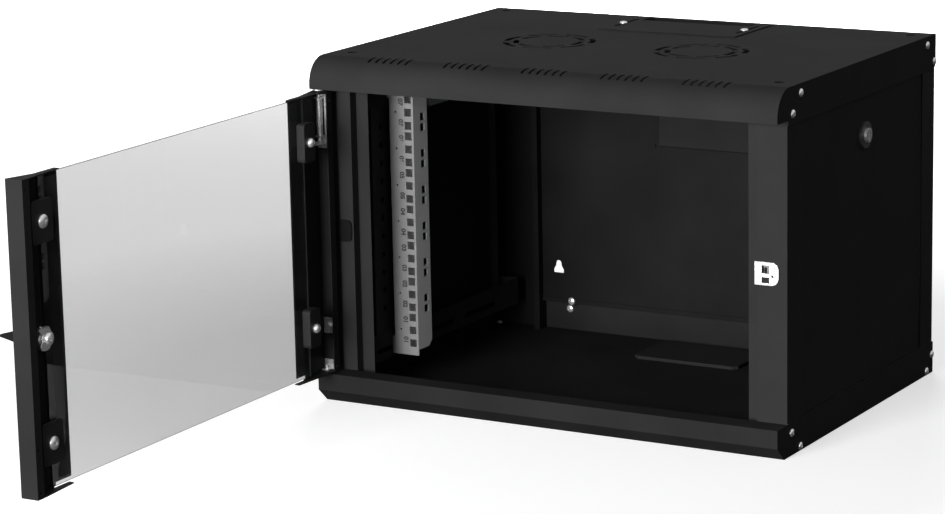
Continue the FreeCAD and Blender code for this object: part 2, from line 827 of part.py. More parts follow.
def make_rail(name, side):
    """Angle rail: numbered front face with square holes, and a side flange."""
    piece = Piece("rail_" + name)
    face = FRONT + S.rail_face_setback
    wall = S.rail_sheet
    inner, outer = S.rail_inner, S.rail_inner + S.rail_face_width
    foot, top = S.rail_foot, S.height - S.rail_foot
    piece.add("y", face, face + wall, mirrored(box(inner, outer, foot, top), side))
    clip = 7.0
    piece.add("x", side * inner, side * (inner + wall), [
        (face + wall, foot + clip),
        (face + S.rail_side_depth - clip, foot + clip),
        (face + S.rail_side_depth, foot + clip * 2),
        (face + S.rail_side_depth, top - clip * 2),
        (face + S.rail_side_depth - clip, top - clip),
        (face + wall, top - clip),
    ])
    tab = BRACE - S.seat_gap
    for low in (foot, top - S.rail_tab_height):
        high = low + S.rail_tab_height
        piece.add("y", face, face + wall, mirrored(box(outer, tab, low, high), side))
        piece.add("x", side * (tab - wall), side * tab,
                  box(face + wall, face + S.rail_tab_depth, low, high))
    hole_x = side * S.rail_hole_span / 2
    square = S.rail_hole / 2
    levels = [S.units_foot + rise for rise in (6.35, 22.225, 38.1)]
    squares = [box(hole_x - square, hole_x + square, z - square, z + square) for z in levels]
    holes = piece.cut("y", face - 1, face + wall + 1, *squares)
    piece.row(holes, "Z_Axis", 7, S.unit_height)
    dots = piece.cut("y", face - 1, face + wall + 1,
                     flats(side * (outer - 8.6), S.units_foot + S.unit_height / 2, 1.6, 6))
    piece.row(dots, "Z_Axis", 7, S.unit_height)
    middle = face + 21
    side_squares = [box(middle - square, middle + square, z - square, z + square)
                    for z in (S.units_foot + S.unit_height + 2, S.units_foot + S.unit_height + 15)]
    side_holes = piece.cut("x", side * (inner - 1), side * (inner + wall + 1), *side_squares)
    piece.row(side_holes, "Z_Axis", 6, S.unit_height)
    bolts = [clear_hole(FRONT + S.rail_bolt_setback, z, S.rail_bolt_radius)
             for z in BOLT_LEVELS]
    piece.cut("x", side * (tab - wall - 1), side * (tab + 1), *bolts)


# Side panels and their locks

def make_side_panel(name, side):
    """Lift-out side panel: a pan with turned edges and two tabs at its foot."""
    piece = Piece("side_panel_" + name)
    sheet = S.cover_sheet
    outer = INNER - S.frame_sheet
    front, rear = POST_REAR + S.side_gap, REAR_POST_FACE - S.side_gap
    foot, top = S.base_flange + S.seat_gap, S.height - S.top_flange - S.side_gap
    inner = outer - S.side_return
    piece.add("x", side * (outer - sheet), side * outer, box(front, rear, foot, top))
    for low, high in ((front, front + sheet), (rear - sheet, rear)):
        piece.add("y", low, high, mirrored(box(inner, outer, foot, top), side))
    for low, high in ((foot, foot + sheet), (top - sheet, top)):
        piece.add("z", low, high, mirrored(box(inner, outer, front, rear), side))
    for y in TAB_PLACES:
        piece.add("x", side * (outer - sheet * 2), side * (outer - sheet),
                  box(y - TAB_HALF, y + TAB_HALF, S.base_flange - 8.5, foot + 12))
    lock = clear_hole(REAR - S.side_lock_setback, S.side_lock_height, SIDE_BARREL, 16)
    piece.cut("x", side * (outer - sheet - 1), side * (outer + 1), lock)


SIDE_BARREL = 10.0
ROSETTE_THICK = 3.2
SPIGOT = 4.0


def make_side_lock(name, side):
    """Lock body, turning core and cam of a side panel."""
    face = INNER - S.frame_sheet
    behind = INNER - S.side_lip - 0.7
    centre = (REAR - S.side_lock_setback, S.side_lock_height)
    core = S.lock_core_radius
    body = Piece("side_lock_body_" + name)
    body.add("x", side * face, side * (face + ROSETTE_THICK), flats(*centre, S.rosette_radius, 24))
    body.add("x", side * behind, side * face, flats(*centre, SIDE_BARREL, 16))
    body.cut("x", side * (behind - 1), side * (face + ROSETTE_THICK + 1),
             clear_hole(*centre, core, 16))
    knob = face + ROSETTE_THICK
    turning = Piece("side_lock_core_" + name)
    turning.add("x", side * (behind - 0.1), side * knob, disc(*centre, core))
    turning.add("x", side * knob, side * (knob + 3.2), flats(*centre, 8.5, 16))
    turning.add("x", side * (behind - 2.4), side * (behind - 0.1), flats(*centre, SPIGOT, 8))
    slit = box(centre[0] - 0.8, centre[0] + 0.8, centre[1] - 3.5, centre[1] + 3.5)
    turning.cut("x", side * (knob - 4), side * (knob + 4), slit)
    cam = Piece("side_lock_cam_" + name)
    half = S.side_cam_width / 2
    y, z = centre
    half_run = (S.side_cam_length - half) / 2
    cam.add("x", side * (behind - 2.1), side * (behind - 0.3), slot(y + half_run, z, half_run, half))
    cam.cut("x", side * (behind - 3), side * behind, clear_hole(y, z, SPIGOT))


# Door, drawn closed on its hinge axis: X runs to the free edge and Y to the inside

EDGE = -(S.hinge_inset - 2)
FREE = S.door_width + EDGE
DOOR_TOP = S.door_foot + S.door_height
LANDING = S.door_dish - S.door_front
GLASS_FACE = LANDING + S.cover_sheet + S.pad_thick
GLASS_BACK = GLASS_FACE + S.glass_thick
CLAMP_SEAT = GLASS_BACK + S.seat_gap
LOCK_U = FREE - S.lock_inset
NUT_RADIUS = S.lock_barrel_radius + 3.5


def from_edge(edge, side, points):
    """Points given by their distance from one outer edge of the door."""
    return [(edge + side * u, v, *bend) for u, v, *bend in points]


def make_profile(name, edge, side, slope, landing_width):
    """Door stile: outer wall, turned rim, sloping front and a landing for the glass."""
    piece = Piece(name)
    sheet = S.cover_sheet
    front, back = -S.door_front, S.door_back
    landing, full = LANDING, slope + landing_width
    section = [
        (0.0, front),
        (slope, landing),
        (full, landing),
        (full, landing + sheet),
        (slope - sheet * 0.13, landing + sheet),
        (sheet, front + sheet * 1.3),
        (sheet, back - sheet),
        (S.door_rim, back - sheet),
        (S.door_rim, back),
        (0.0, back),
    ]
    piece.add("z", S.door_foot, DOOR_TOP, from_edge(edge, side, section))
    cap = [
        (0.0, front),
        (slope, landing),
        (full, landing),
        (full, landing + 6.5),
        (S.door_rim, back),
        (0.0, back),
    ]
    piece.add("z", DOOR_TOP - sheet, DOOR_TOP, from_edge(edge, side, cap))
    piece.add("z", S.door_foot, S.door_foot + sheet, from_edge(edge, side, cap))
    notch = from_edge(edge, side, box(slope + 8, full + 1, landing - 1, landing + sheet + 0.4))
    piece.cut("z", S.door_foot + sheet, S.door_foot + 8, notch)
    rim_holes = [flats(edge + side * 5.4, z, 1.8, 8) for z in (45.5, 91.5, 320.5, 365.5)]
    piece.cut("y", back - sheet - 1, back + 1, *rim_holes)
    return piece


def clamp_places():
    """Where the four glass clamps sit: across the door, upright, width, thickness."""
    hinge_u = EDGE + S.hinge_slope + S.hinge_clamp_offset
    hinge = (hinge_u, S.hinge_clamp_width, S.hinge_clamp_thick)
    lock_u = FREE - S.lock_slope - S.lock_clamp_offset
    free = (lock_u, S.lock_clamp_width, S.lock_clamp_thick)
    return {
        "hinge_clamp_lower": (hinge, S.hinge_clamp_low),
        "hinge_clamp_upper": (hinge, S.hinge_clamp_high),
        "lock_clamp_lower": (free, S.lock_clamp_low),
        "lock_clamp_upper": (free, S.lock_clamp_high),
    }


def make_door_profiles():
    hinge = make_profile("hinge_profile", EDGE, 1.0, S.hinge_slope, S.hinge_landing)
    pin_hole = clear_hole(0.0, 0.0, S.hinge_pin_radius, 12)
    hinge.cut("z", DOOR_TOP - 2, DOOR_TOP + 1, pin_hole)
    hinge.cut("z", S.door_foot - 1, S.door_foot + 2, pin_hole)
    lock = make_profile("lock_profile", FREE, -1.0, S.lock_slope, S.lock_landing)
    lock.cut("y", -S.door_front - 1, LANDING + 3,
             clear_hole(LOCK_U, S.lock_height, S.lock_barrel_radius, 16))
    for name, ((u, _, _), z) in clamp_places().items():
        profile = hinge if name.startswith("hinge") else lock
        profile.cut("y", LANDING - 4, LANDING + 3, clear_hole(u, z, S.clamp_screw_radius))
    hinge.hang()
    lock.hang()


def make_glass():
    """Toughened pane whose edges lie on the landings, notched round the clamp bosses."""
    piece = Piece("glass_panel")
    left, right = EDGE + S.hinge_slope, FREE - S.lock_slope
    foot, top = S.glass_foot, S.glass_foot + S.glass_height
    piece.add("y", GLASS_FACE, GLASS_BACK, box(left, right, foot, top))
    gap = S.clamp_boss_radius + S.seat_gap
    notches = [clear_hole(u, z, gap) for (u, _, _), z in clamp_places().values()]
    piece.cut("y", GLASS_FACE - 1, GLASS_BACK + 1, *notches)
    lock_notch = clear_hole(LOCK_U, S.lock_height, NUT_RADIUS + S.seat_gap, 12)
    piece.cut("y", GLASS_FACE - 1, GLASS_BACK + 1, lock_notch)
    piece.hang()
    beside_boss = S.hinge_clamp_offset + S.clamp_boss_radius + S.seat_gap
    pads = {
        "glass_pad_hinge": (left + beside_boss, left + S.hinge_landing - 1),
        "glass_pad_lock": (right - S.lock_landing + 1, LOCK_U - NUT_RADIUS - S.seat_gap),
    }
    for name, (low, high) in pads.items():
        pad = Piece(name)
        pad.add("y", LANDING + S.cover_sheet, GLASS_FACE, box(low, high, foot + 6, top - 4))
        pad.hang()


def make_clamps():
    """Black blocks on the hinge side and flat plates on the lock side, each on a boss."""
    landing = LANDING + S.cover_sheet
    for name, ((u, width, thick), z) in clamp_places().items():
        piece = Piece(name)
        half, rise = width / 2, S.clamp_height / 2
        piece.add("y", CLAMP_SEAT, CLAMP_SEAT + thick,
                  rounded(u - half, u + half, z - rise, z + rise, 4.0))
        piece.add("y", landing, CLAMP_SEAT, flats(u, z, S.clamp_boss_radius, 8))
        piece.cut("y", landing - 1, CLAMP_SEAT + thick + 1, clear_hole(u, z, S.clamp_screw_radius))
        piece.hang()


EAR_LEVELS = (14.0, 60.0)
EAR_THICK = 1.5


def ear(plate, reach):
    """A flat ear from the hinge wall, cut back along the sloping front of the stile."""
    return [(plate, -5.5), (reach, -3.7), (reach, 5.5), (plate, 5.5)]


def make_hinge():
    """Sprung top pin in its bracket, and the fixed bottom pin in its angle."""
    wall = S.cover_sheet
    plate = EDGE + S.cover_sheet
    foot = S.hinge_bracket_foot
    spring_foot = foot + EAR_LEVELS[0] + EAR_THICK
    spring_radius = S.hinge_pin_radius + 1.1
    bracket = Piece("hinge_bracket")
    bracket.add("x", plate, plate + wall, box(-5.3, 10.5, foot, foot + S.hinge_bracket_height))
    pin_hole = clear_hole(0.0, 0.0, S.hinge_pin_radius, 12)
    for rise in EAR_LEVELS:
        low = foot + rise
        bracket.add("z", low, low + EAR_THICK, ear(plate, 5.5))
        bracket.cut("z", low - 1, low + EAR_THICK + 1, pin_hole)
    bracket.cut("x", plate - 1, plate + wall + 0.5,
                box(-4.6, 4.6, spring_foot, foot + EAR_LEVELS[1]))
    bracket.hang()

    pin_piece = Piece("hinge_pin")
    radius = S.hinge_pin_radius
    pin_foot = foot + EAR_LEVELS[0] - 9
    pin_piece.add("z", pin_foot, S.hinge_pin_top, disc(0.0, 0.0, radius))
    pin_piece.add("z", COLLAR, COLLAR + 1.5, flats(0.0, 0.0, spring_radius))
    pin_piece.add("z", pin_foot, pin_foot + radius * 1.4, box(-1.2, 15.0, -1.2, 1.6))
    pin_piece.hang()

    spring = Piece("hinge_spring")
    spring.add("z", spring_foot, COLLAR, flats(0.0, 0.0, spring_radius))
    spring.cut("z", foot, COLLAR + 1, clear_hole(0.0, 0.0, radius + 0.2, 12))
    spring.hang()

    washer = Piece("hinge_washer")
    washer.add("z", DOOR_TOP, DOOR_TOP + 1.2, flats(0.0, 0.0, 7.5, 16))
    washer.cut("z", DOOR_TOP - 1, DOOR_TOP + 2, pin_hole)
    washer.hang()

    low = S.door_foot + S.cover_sheet
    angle = Piece("lower_hinge_angle")
    angle.add("x", plate, plate + wall, box(-5.3, 7.0, low, low + 12))
    angle.add("z", low, low + EAR_THICK, ear(plate, 7.0))
    angle.cut("z", low - 1, low + EAR_THICK + 1, pin_hole)
    angle.hang()

    lower = Piece("lower_hinge_pin")
    lower.add("z", S.base_lip_top - 5, low + 6, disc(0.0, 0.0, radius))
    lower.add("z", S.base_lip_top + 0.2, S.door_foot, flats(0.0, 0.0, 5.5))
    lower.hang()

    lug = Piece("earth_lug")
    lug.add("x", plate, plate + 1, box(-5.0, 10.0, 84.0, 103.0))
    lug.add("x", plate + 1, plate + 5, flats(2.5, 93.5, 3.0, 8))
    lug.hang()


COLLAR = S.hinge_bracket_foot + 58.2

# The door's lock
FLANGE_RADIUS = S.lock_barrel_radius + 2.5
SLOPE_REACH = (S.lock_inset - FLANGE_RADIUS) / S.lock_slope
LOCK_FLANGE = S.door_dish * SLOPE_REACH - S.door_front - S.fit_play
LOCK_END = 11.0
CLAW_THICK = 2.0


def make_door_lock():
    """Threaded lock body and nut, turning core, claw with its screw, and the key."""
    u, z = LOCK_U, S.lock_height
    barrel, core = S.lock_barrel_radius, S.lock_core_radius
    body = Piece("door_lock_body")
    body.add("y", -S.door_front + 1.5, LOCK_FLANGE, flats(u, z, FLANGE_RADIUS, 24))
    body.add("y", LOCK_FLANGE, LOCK_END, flats(u, z, barrel, 16))
    body.cut("y", -S.door_front, LOCK_END + 1, clear_hole(u, z, core, 16))

    nut = Piece("door_lock_nut")
    seat = LANDING + S.cover_sheet
    nut.add("y", seat, seat + 5, flats(u, z, NUT_RADIUS, 6))
    nut.cut("y", seat - 1, seat + 6, clear_hole(u, z, barrel, 16))

    turning = Piece("door_lock_core")
    turning.add("y", -S.door_front, LOCK_END + 0.1, disc(u, z, core))
    turning.add("y", LOCK_END + 0.1, LOCK_END + 0.2 + CLAW_THICK, flats(u, z, SPIGOT, 8))
    turning.cut("y", -S.door_front - 1, 1.0, box(u - KEY_BLADE, u + KEY_BLADE, z - 3.6, z + 3.6))
    turning.cut("y", 4.0, LOCK_END + 4, clear_hole(u, z, CLAW_SCREW))

    claw = Piece("door_lock_claw")
    low, high = LOCK_END + 0.2, LOCK_END + 0.2 + CLAW_THICK
    claw.add("y", low, high, flats(u, z, 8.0, 16))
    claw.add("y", low, high, [(u + across, z + rise) for across, rise in CLAW_FORK])
    claw.add("y", low, high, rounded(u - 2, u + 14, z - 11.5, z - 1.5, 4.9))
    claw.cut("y", low - 1, high + 1, clear_hole(u, z, SPIGOT))

    screw = Piece("claw_screw")
    screw.add("y", high, high + 2.8, flats(u, z, 6.2, 16))
    screw.add("y", 5.0, high, flats(u, z, CLAW_SCREW, 8))

    key = Piece("door_key")
    root, tip = -S.door_front - 9, -S.door_front - 42
    key.add("y", root, 0.5, box(u - 1.2, u + 1.2, z - 3.5, z + 3.5))
    key.add("x", u - 3, u + 3, [
        (root, z - 8),
        (root, z + 4.5),
        (root - 3, z + 6),
        (root - 8, z + 5.5),
        (tip, z - 1.5),
        (tip, z - 3.5),
        (root - 12, z - 8),
    ])
    for piece in (body, nut, turning, claw, screw, key):
        piece.hang()


KEY_BLADE = 1.3
CLAW_SCREW = 2.0
CLAW_FORK = ((-3.0, 7.4), (2.0, 2.0), (11.0, 6.5), (17.0, 11.6), (15.6, 13.0), (13.2, 11.6),
             (12.2, 12.8), (14.6, 14.4), (13.2, 15.8), (7.0, 11.6))


# Strike plate and pad on the front posts

STRIKE_HOLES = ((8.6, 13.2, 9.2), (8.6, 2.4, 6.4))
STRIKE_HOLE_WIDTH = 9.0
STRIKE_SCREW_X = 281.5
STRIKE_SCREWS = (-8.2, 8.6)


def make_strike():
    """Flat catch with two square holes and a round one, and the pad on the other post."""
    piece = Piece("strike_plate")
    wall = S.frame_sheet
    inner, foot = S.strike_inner, S.strike_foot
    outer, top = inner + S.strike_width, foot + S.strike_height
    corner = 9.0
    piece.add("y", POST_FACE - wall, POST_FACE, [
        (inner, foot),
        (outer - corner, foot, corner),
        (outer, foot + corner),
        (outer, top - corner, corner),
        (outer - corner, top),
        (inner, top),
    ])
    squares = [box(inner + left, inner + left + STRIKE_HOLE_WIDTH, foot + low, foot + low + tall)
               for left, low, tall in STRIKE_HOLES]
    middle = foot + S.strike_height / 2
    holes = [clear_hole(STRIKE_SCREW_X, middle + rise, S.screw_radius)
             for rise in STRIKE_SCREWS]
    spare = flats(STRIKE_SCREW_X, middle - 2.6, 1.4, 8)
    piece.cut("y", POST_FACE - wall - 1, POST_FACE + 1, *squares, *holes, spare)
    pad = Piece("post_pad")
    pad.add("y", POST_FACE - 2, POST_FACE, rounded(-outer, -inner - 4, foot, top, 6.0))


# Fasteners: groups of separate solids that read their sizes from the sheet

def prism(radius, tall, count=8):
    """A flat-sided bar standing on the level of zero."""
    turns = [math.tau * step / count for step in range(count + 1)]
    corners = [V(radius * math.cos(turn), radius * math.sin(turn), 0) for turn in turns]
    return Part.Face(Part.makePolygon(corners)).extrude(V(0, 0, tall))


def screw_shape(head, height, shank, length):
    """A screw that points down, its head standing on the level of zero."""
    lower = prism(shank, length)
    lower.translate(V(0, 0, -length))
    return prism(head, height).fuse(lower)


def placed(shape, direction, *place):
    """A copy of a shape that points up, turned to a direction and moved."""
    copy = shape.copy()
    turn = FreeCAD.Rotation(V(0, 0, 1), V(*direction))
    copy.Placement = FreeCAD.Placement(V(*[as_length(value).number for value in place]), turn)
    return copy


def make_group(name, shapes):
    """A node of separate solids."""
    group = DOC.addObject("Part::Feature", name)
    group.Label = name
    group.Shape = Part.makeCompound(shapes)
    NODES.append(group)
    return group


def nut_shape(radius, thick, bore):
    """A hexagonal nut standing on the level of zero."""
    return prism(radius, thick, 6).cut(prism(bore / math.cos(math.pi / 8), thick))


def make_fasteners():
    head, height = S.screw_head_radius.number, S.screw_head_height.number
    radius = S.screw_radius.number
    play = S.fit_play.number
    cover = screw_shape(head, height, radius, COVER_SCREW_LENGTH)
    make_group("cover_screws", [placed(cover, (side, 0, 0), side * HALF, y, z)
                                for side in (-1.0, 1.0) for y, z in COVER_SCREWS])
    plate = screw_shape(head, height, radius, 7.0)
    on_plate = S.height + S.cover_sheet + S.seat_gap
    make_group("top_plate_screws", [
        placed(plate, (0, 0, 1), side * S.plate_screw_offset, REAR - S.plate_screw_setback, on_plate)
        for side in (-1.0, 1.0)])
    rear_face = REAR - S.panel_setback - S.cover_sheet
    small = screw_shape(3.2, 1.8, radius, 6.0)
    make_group("rear_panel_screws", [placed(small, (0, -1, 0), x, rear_face, z)
                                     for x, z in REAR_SCREWS])
    middle = S.strike_foot + S.strike_height / 2
    make_group("strike_screws", [
        placed(screw_shape(3.0, 1.0, radius, 8.0), (0, -1, 0), STRIKE_SCREW_X,
               POST_FACE - S.frame_sheet, middle + rise) for rise in STRIKE_SCREWS])
    levels = (BACK, rear_face - S.cover_sheet)
    lengths = (S.cover_sheet.number, S.cover_sheet.number * 2)
    make_group("earth_bolts", [
        placed(screw_shape(5.0, 3.2, 2.5, length), (0, -1, 0), x, y, z)
        for (x, z), y, length in zip(EARTH_BOLTS, levels, lengths)])
    bolt_radius = S.rail_bolt_radius.number
    tab = BRACE - S.seat_gap - S.rail_sheet
    reach = S.rail_sheet + S.seat_gap * 2 + S.frame_sheet
    bolt = screw_shape(4.6, 3.0, bolt_radius, reach.number + 4.5)
    nut = nut_shape(4.8, 4.0, bolt_radius + play)
    bolt_y = FRONT + S.rail_bolt_setback
    for name, side in SIDES.items():
        make_group("rail_bolts_" + name, [placed(bolt, (-side, 0, 0), side * tab, bolt_y, z)
                                          for z in BOLT_LEVELS])
        make_group("rail_nuts_" + name, [placed(nut, (side, 0, 0), side * (tab + reach), bolt_y, z)
                                         for z in BOLT_LEVELS])
    shapes = []
    for (u, _, thick), z in clamp_places().values():
        top = (CLAMP_SEAT + thick).number
        wide, tall = (5.5, 6.0) if thick is S.hinge_clamp_thick else (7.4, 3.6)
        screw = screw_shape(wide, tall, S.clamp_screw_radius.number, top - LANDING.number - 1.2)
        shapes.append(placed(screw, (0, 1, 0), u, top, z))
    hang_on_hinge(make_group("clamp_screws", shapes))


def check_features():
    """Stop if a feature failed, or if a cut took nothing away."""
    for item in DOC.Objects:
        if "Invalid" in item.State or "Error" in item.State:
            raise RuntimeError(f"{item.Name} failed: {item.State}")
        if item.TypeId == "PartDesign::Pocket":
            before, after = item.BaseFeature.Shape.Volume, item.Shape.Volume
            if after > before - 0.01:
                raise RuntimeError(f"{item.Name} cuts nothing")
    for node in NODES:
        if node.Shape.isNull() or not node.Shape.isValid():
            raise RuntimeError(f"{node.Label} has no valid shape")


def export_nodes():
    """Write each piece to its own file."""
    os.makedirs("parts", exist_ok=True)
    for node in NODES:
        node.Shape.exportStep(os.path.join("parts", node.Label + ".step"))
    print(len(NODES), "pieces written")


make_top_cover()
make_bottom_cover()
make_frame()
make_rear_panel()
make_rear_cable_plate()
make_top_cable_plate()
make_floor_cable_plate()
for rail_name, rail_side in SIDES.items():
    make_rail(rail_name, rail_side)
    make_side_panel(rail_name, rail_side)
    make_side_lock(rail_name, rail_side)
make_door_profiles()
make_glass()
make_clamps()
make_hinge()
make_door_lock()
make_strike()
make_fasteners()
DOC.recompute()
check_features()
export_nodes()
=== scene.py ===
import math

import bmesh
import bpy
from mathutils import Matrix, Vector


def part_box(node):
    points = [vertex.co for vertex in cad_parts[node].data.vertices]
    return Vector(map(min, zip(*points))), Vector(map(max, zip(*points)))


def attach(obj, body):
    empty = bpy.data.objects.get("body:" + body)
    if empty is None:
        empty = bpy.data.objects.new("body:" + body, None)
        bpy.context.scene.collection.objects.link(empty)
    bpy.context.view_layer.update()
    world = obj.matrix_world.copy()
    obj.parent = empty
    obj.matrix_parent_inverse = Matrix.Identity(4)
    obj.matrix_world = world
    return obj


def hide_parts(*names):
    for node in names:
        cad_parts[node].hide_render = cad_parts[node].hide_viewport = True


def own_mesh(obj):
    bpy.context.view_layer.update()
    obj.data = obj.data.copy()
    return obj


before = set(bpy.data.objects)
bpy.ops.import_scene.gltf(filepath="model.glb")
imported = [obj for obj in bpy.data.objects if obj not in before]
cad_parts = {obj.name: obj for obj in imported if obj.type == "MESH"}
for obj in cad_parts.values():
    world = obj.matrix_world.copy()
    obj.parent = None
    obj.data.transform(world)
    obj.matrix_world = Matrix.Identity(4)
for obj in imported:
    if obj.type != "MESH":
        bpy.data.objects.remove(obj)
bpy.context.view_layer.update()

# Places and sizes that the model gives, in metres. The door's own places are (u, v, z) with the
# door closed: u from the hinge axis towards the lock, v into the cabinet.
HINGE = Vector((-0.2925, -0.2160, 0.0))
DOOR_TURN = math.radians(-89.3)
DOOR = Matrix.Translation(HINGE) @ Matrix.Rotation(DOOR_TURN, 4, "Z")
CASE_SIDE = 0.300
ROOF_SCREW_X, ROOF_SCREW_Y, ROOF_SCREW_Z = 0.082, 0.153, 0.4175
COVER_SCREWS = (
    (-0.165, 0.4055), (-0.186, 0.3855), (0.197, 0.4060), (0.219, 0.3840),
    (-0.188, 0.0265), (-0.165, 0.0055), (0.220, 0.0230), (0.204, 0.0055),
)
# Each earth bolt's place and the length of its shank
EARTH_BOLTS = (
    ((-0.2004, 0.2238, 0.0290), 0.0012),
    ((-0.1932, 0.2146, 0.0413), 0.0024),
)
# Each clamp screw's place on the door, its head's radius and its head's height
CLAMP_SCREWS = (
    ((0.0530, 0.0190, 0.1040), 0.0055, 0.0060),
    ((0.0530, 0.0190, 0.3250), 0.0055, 0.0060),
    ((0.5540, 0.0105, 0.0920), 0.0074, 0.0036),
    ((0.5540, 0.0105, 0.3280), 0.0074, 0.0036),
)
CLAMP_SCREW_TIP = 0.0037
CLAW_SCREW = (0.5560, 0.0132, 0.2045)
SPRING_FOOT, SPRING_TOP = 0.3235, 0.3662
SPRING_RADIUS = 0.0037
SPRING_TURNS = 23
UNIT = 0.04445
UNITS = 7
UNITS_FOOT = 0.0494
RAIL_FACE = -0.1164

SIDES = {"left": -1.0, "right": 1.0}

# The unit numbers: their height, how much their strokes are thickened, half the print's
# thickness, and their distances from the middle of the case and of a unit
FIGURE_SIZE = 0.0084
FIGURE_WEIGHT = 0.00034
FIGURE_HALF = 0.00003
FIGURE_X = 0.2425
FIGURE_RISE = 0.0125

# The strip behind a rail's holes: its edges across the case, and its depths behind the rail's face
BACKING_INNER, BACKING_OUTER = 0.2395, 0.2465
BACKING_FRONT, BACKING_REAR = 0.0024, 0.0300
BACKING_SHEET = 0.0012
BACKING_SHORTER = 0.004

# The photograph's camera
LENS = 122.63
CAMERA_PLACE = (1.736468, -3.340290, 0.994797)
CAMERA_RIGHT = Vector((0.865523, 0.500450, -0.020494))
CAMERA_DOWN = Vector((0.090604, -0.196678, -0.976273))
CAMERA_AHEAD = Vector((-0.492606, 0.843130, -0.215572))


# Shader helpers

def new_material(name):
    """A material with its tree and its main shader."""
    material = bpy.data.materials.new(name)
    material.use_nodes = True
    tree = material.node_tree
    return material, tree, tree.nodes["Principled BSDF"]


def combine(tree, operation, first, second=None, clamp=False):
    """One number worked out from others."""
    node = tree.nodes.new("ShaderNodeMath")
    node.operation = operation
    node.use_clamp = clamp
    tree.links.new(first, node.inputs[0])
    if second is not None:
        tree.links.new(second, node.inputs[1])
    return node.outputs["Value"]


def coordinate(tree, kind, axis):
    """One part of a texture coordinate."""
    place = tree.nodes.new("ShaderNodeTexCoord")
    split = tree.nodes.new("ShaderNodeSeparateXYZ")
    tree.links.new(place.outputs[kind], split.inputs["Vector"])
    return split.outputs[axis]


def noise(tree, scale, detail, stretch=(1.0, 1.0, 1.0)):
    """Noise in the object's own space, with a scale in cells per metre."""
    place = tree.nodes.new("ShaderNodeTexCoord")
    mapping = tree.nodes.new("ShaderNodeMapping")
    mapping.inputs["Scale"].default_value = stretch
    texture = tree.nodes.new("ShaderNodeTexNoise")
    texture.inputs["Scale"].default_value = scale
    texture.inputs["Detail"].default_value = detail
    tree.links.new(place.outputs["Object"], mapping.inputs["Vector"])
    tree.links.new(mapping.outputs["Vector"], texture.inputs["Vector"])
    return texture.outputs["Fac"]


def remap(tree, source, low, high, start=0.35, end=0.65):
    """Turn numbers from start to end into numbers from low to high."""
    node = tree.nodes.new("ShaderNodeMapRange")
    node.inputs["From Min"].default_value = start
    node.inputs["From Max"].default_value = end
    node.inputs["To Min"].default_value = low
    node.inputs["To Max"].default_value = high
    tree.links.new(source, node.inputs["Value"])
    return node.outputs["Result"]


def mix_colours(tree, factor, first, second):
    """Two colours, mixed by a number between 0 and 1."""
    node = tree.nodes.new("ShaderNodeMix")
    node.data_type = "RGBA"
    node.inputs["A"].default_value = (*first, 1.0)
    node.inputs["B"].default_value = (*second, 1.0)
    tree.links.new(factor, node.inputs["Factor"])
    return node.outputs["Result"]


def mix_sockets(tree, factor, first, second):
    """Two colour sockets, mixed by a number between 0 and 1."""
    node = tree.nodes.new("ShaderNodeMix")
    node.data_type = "RGBA"
    tree.links.new(first, node.inputs["A"])
    tree.links.new(second, node.inputs["B"])
    tree.links.new(factor, node.inputs["Factor"])
    return node.outputs["Result"]


def mix_shaders(tree, factor, first, second, output):
    """Two shaders, mixed by a number between 0 and 1, as what an output shows."""
    either = tree.nodes.new("ShaderNodeMixShader")
    tree.links.new(factor, either.inputs[0])
    tree.links.new(first, either.inputs[1])
    tree.links.new(second, either.inputs[2])
    tree.links.new(either.outputs["Shader"], tree.nodes[output].inputs["Surface"])


def facing_y(tree):
    """One on faces that look along the object's own Y, either way, and nought on the others."""
    across = combine(tree, "ABSOLUTE", coordinate(tree, "Normal", "Y"))
    return remap(tree, across, 0.0, 1.0, start=0.5, end=0.7)


def seen_directly(tree, paths):
    """One for what the camera sees, also through glass."""
    return combine(tree, "ADD", paths.outputs["Is Camera Ray"],
                   paths.outputs["Is Transmission Ray"], clamp=True)


# Materials

def make_finish(name, colours, rough, grain, relief, patch=9.0, metallic=0.0, specular=0.5,
                edge=0.0005, stretch=(1.0, 1.0, 1.0), painted_shade_share=None):
    """A finish with uneven colour and gloss, a fine relief and softened edges.

    grain and patch are cells per metre, and relief and edge are metres. dull is the share of the
    colour that is left on faces that look along Y, as painted shade.
    """
    material, tree, shader = new_material(name)
    fine = noise(tree, grain, 2.0, stretch)
    tone = remap(tree, noise(tree, patch, 4.0), 0.0, 1.0)
    colour = mix_colours(tree, tone, *colours)
    # Painted shade: faces that look along Y get darker copies of the colours.
    if painted_shade_share is not None:
        shaded_colours = [tuple(painted_shade_share * part for part in shade) for shade in colours]
        colour = mix_sockets(tree, facing_y(tree), colour, mix_colours(tree, tone, *shaded_colours))
    tree.links.new(colour, shader.inputs["Base Color"])
    tree.links.new(remap(tree, fine, *rough), shader.inputs["Roughness"])
    shader.inputs["Metallic"].default_value = metallic
    shader.inputs["Specular IOR Level"].default_value = specular
    rounding = tree.nodes.new("ShaderNodeBevel")
    rounding.samples = 4
    rounding.inputs["Radius"].default_value = edge
    bump = tree.nodes.new("ShaderNodeBump")
    bump.inputs["Strength"].default_value = 0.6
    bump.inputs["Distance"].default_value = relief
    tree.links.new(fine, bump.inputs["Height"])
    tree.links.new(rounding.outputs["Normal"], bump.inputs["Normal"])
    tree.links.new(bump.outputs["Normal"], shader.inputs["Normal"])
    return material


